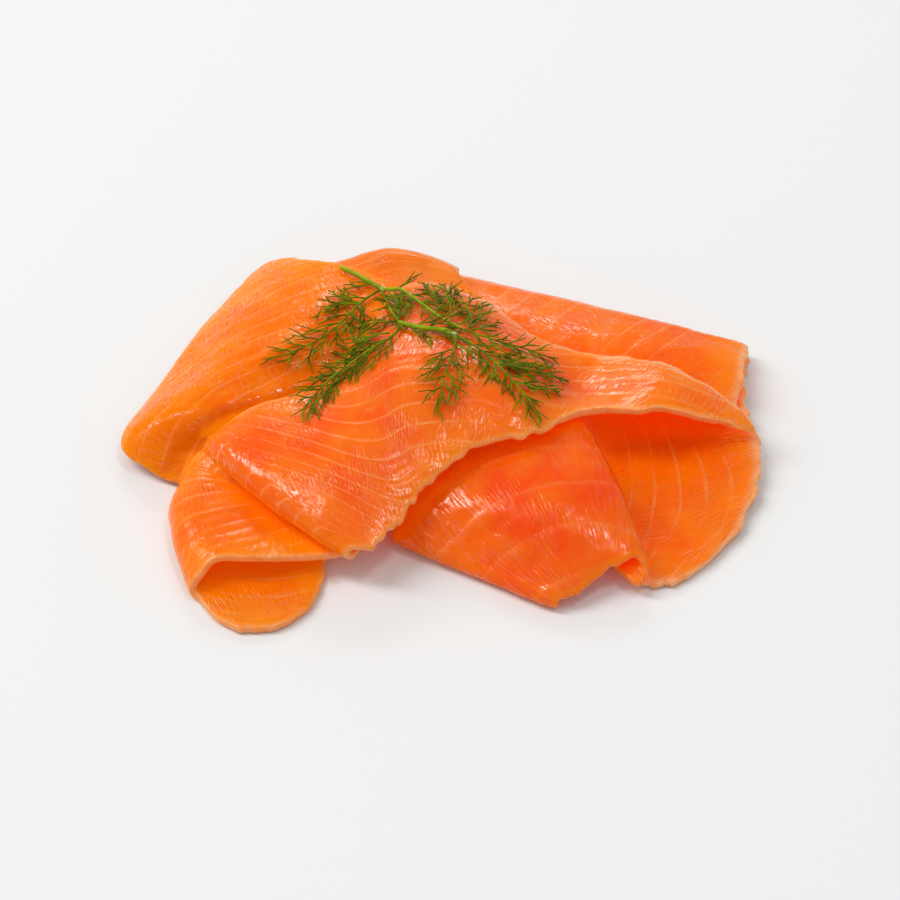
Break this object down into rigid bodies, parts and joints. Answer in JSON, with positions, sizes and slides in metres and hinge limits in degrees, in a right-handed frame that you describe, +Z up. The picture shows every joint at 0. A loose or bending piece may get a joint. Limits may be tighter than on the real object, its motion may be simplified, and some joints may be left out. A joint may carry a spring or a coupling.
{
  "type": "smoked salmon slices",
  "caption": "Thin cured salmon slices folded and draped in a low heap, garnished with a dill sprig; plain prepared food, resting on its base.",
  "frame": {"origin": "middle of the footprint, at the lowest point of the heap", "axes": "+X to the right along the heap's length, +Y to its back, +Z up"},
  "size_m": [0.1776, 0.1396, 0.0295],
  "materials": {
    "salmon_top": "moist fish flesh with pale fat lines",
    "salmon_left": "moist fish flesh with pale fat lines",
    "salmon_rear": "moist fish flesh with pale fat lines",
    "salmon_right": "moist fish flesh with pale fat lines",
    "salmon_front": "moist fish flesh with pale fat lines",
    "dill": "fresh green herb"
  },
  "bodies": {
    "root": {"slice_top": "salmon_top", "slice_left": "salmon_left", "slice_rear": "salmon_rear", "slice_right": "salmon_right", "slice_front": "salmon_front", "dill_sprig": "dill"}
  },
  "joints": []
}
